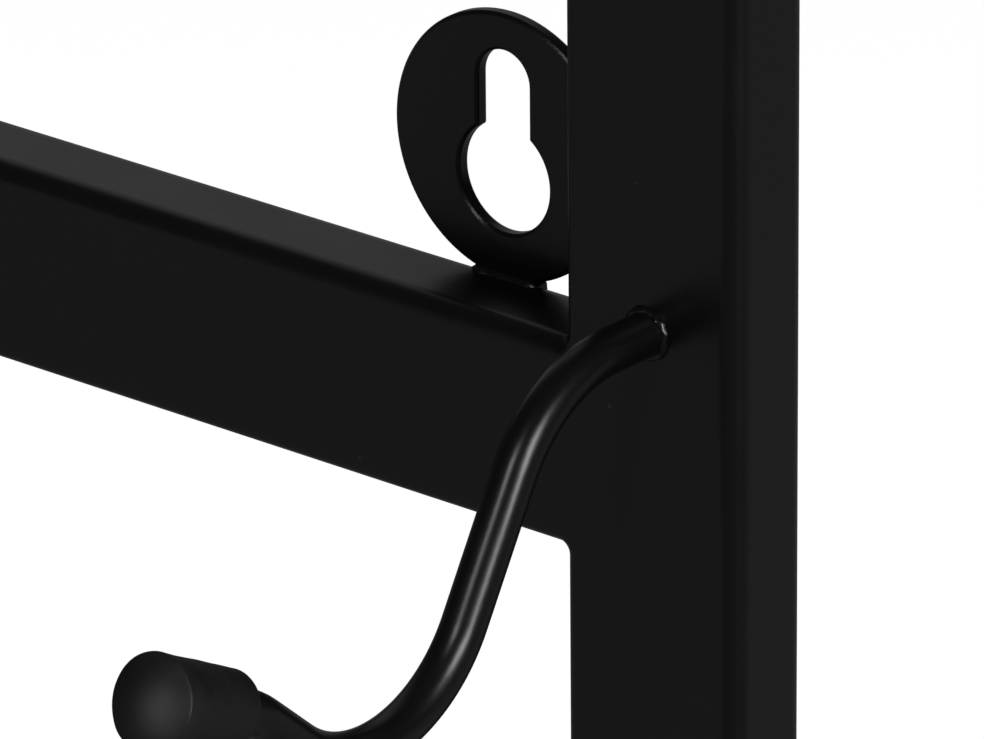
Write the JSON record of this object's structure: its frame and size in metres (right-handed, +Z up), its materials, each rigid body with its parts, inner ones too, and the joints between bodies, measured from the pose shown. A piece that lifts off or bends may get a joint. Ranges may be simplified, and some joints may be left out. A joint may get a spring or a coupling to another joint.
{
  "type": "bicycle wall rack",
  "caption": "Wall rack for a bicycle: welded rectangular tube frame with keyhole hanging tabs, long bent arms with rubber cradles and short capped rod hooks.",
  "frame": {"origin": "on the wall, at the middle of the upper rail's flat back face", "axes": "+X to the right as seen from the room, +Y into the wall, +Z up"},
  "size_m": [0.4, 0.3565, 0.4244],
  "materials": {
    "coated_steel": "satin black powder coat with a fine orange peel",
    "painted_weld": "glossier black coat over rippled weld beads",
    "cap_plastic": "matte black moulded plastic",
    "sleeve_rubber": "matte black rubber with fine ribs"
  },
  "bodies": {
    "root": {"left_bike_arm": "coated_steel", "left_bike_arm_cap": "cap_plastic", "left_bike_arm_sleeve": "sleeve_rubber", "left_bike_arm_weld": "painted_weld", "left_helmet_hook": "coated_steel", "left_helmet_hook_cap": "cap_plastic", "left_helmet_hook_weld": "painted_weld", "left_post": "coated_steel", "left_post_bottom_plug": "cap_plastic", "left_post_top_plug": "cap_plastic", "lower_left_rail_weld": "painted_weld", "lower_left_tab": "coated_steel", "lower_left_tab_weld": "painted_weld", "lower_rail": "coated_steel", "lower_right_rail_weld": "painted_weld", "lower_right_tab": "coated_steel", "lower_right_tab_weld": "painted_weld", "right_bike_arm": "coated_steel", "right_bike_arm_cap": "cap_plastic", "right_bike_arm_sleeve": "sleeve_rubber", "right_bike_arm_weld": "painted_weld", "right_helmet_hook": "coated_steel", "right_helmet_hook_cap": "cap_plastic", "right_helmet_hook_weld": "painted_weld", "right_post": "coated_steel", "right_post_bottom_plug": "cap_plastic", "right_post_top_plug": "cap_plastic", "upper_left_rail_weld": "painted_weld", "upper_left_tab": "coated_steel", "upper_left_tab_weld": "painted_weld", "upper_rail": "coated_steel", "upper_right_rail_weld": "painted_weld", "upper_right_tab": "coated_steel", "upper_right_tab_weld": "painted_weld"}
  },
  "joints": []
}
